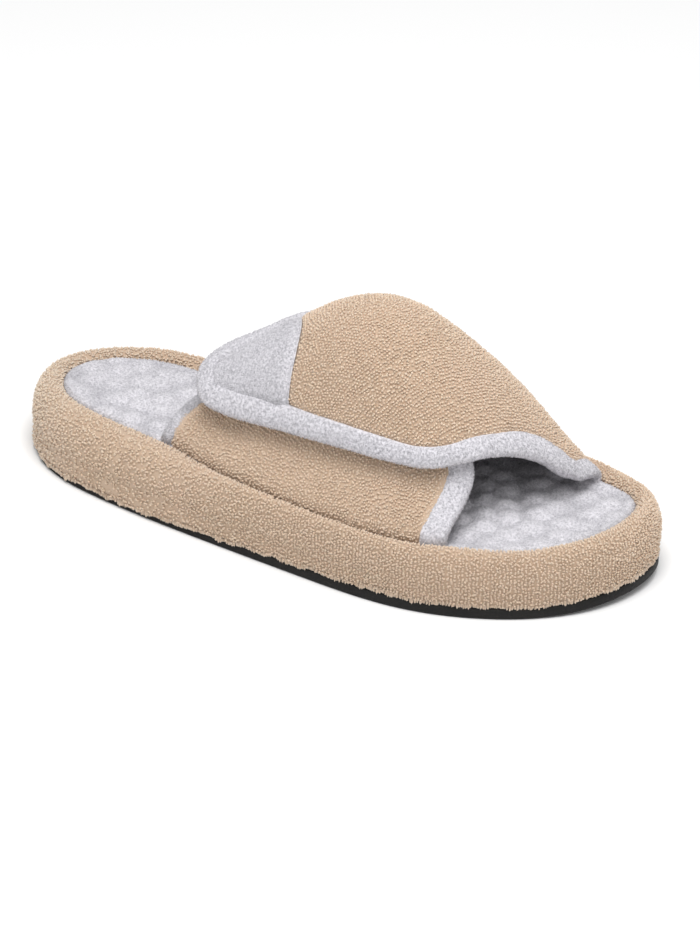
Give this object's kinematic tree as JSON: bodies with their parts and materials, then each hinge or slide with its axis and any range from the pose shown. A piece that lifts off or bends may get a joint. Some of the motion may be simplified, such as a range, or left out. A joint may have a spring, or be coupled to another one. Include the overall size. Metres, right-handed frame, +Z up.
{
  "type": "slide slipper",
  "caption": "Open-toe, open-back slide slipper: terry-covered foam platform with a rolled rim, quilted insole and two instep flaps that wrap over and fasten with a bound tab.",
  "frame": {"origin": "on the floor, under the middle of the slipper's bounding box", "axes": "+X towards the toe, +Y towards the medial side (the wearer's left), +Z up"},
  "size_m": [0.2618, 0.104, 0.096],
  "materials": {
    "terry": "beige looped terry cloth, dull",
    "velour": "pale grey short-pile velour, dull",
    "rubber": "black, matt"
  },
  "bodies": {
    "root": {"outsole": "rubber", "midsole": "terry", "insole": "velour", "upper": "terry", "tab_facing": "velour", "top_flap_binding": "velour", "under_flap_front_binding": "velour", "under_flap_rear_binding": "velour"}
  },
  "joints": []
}
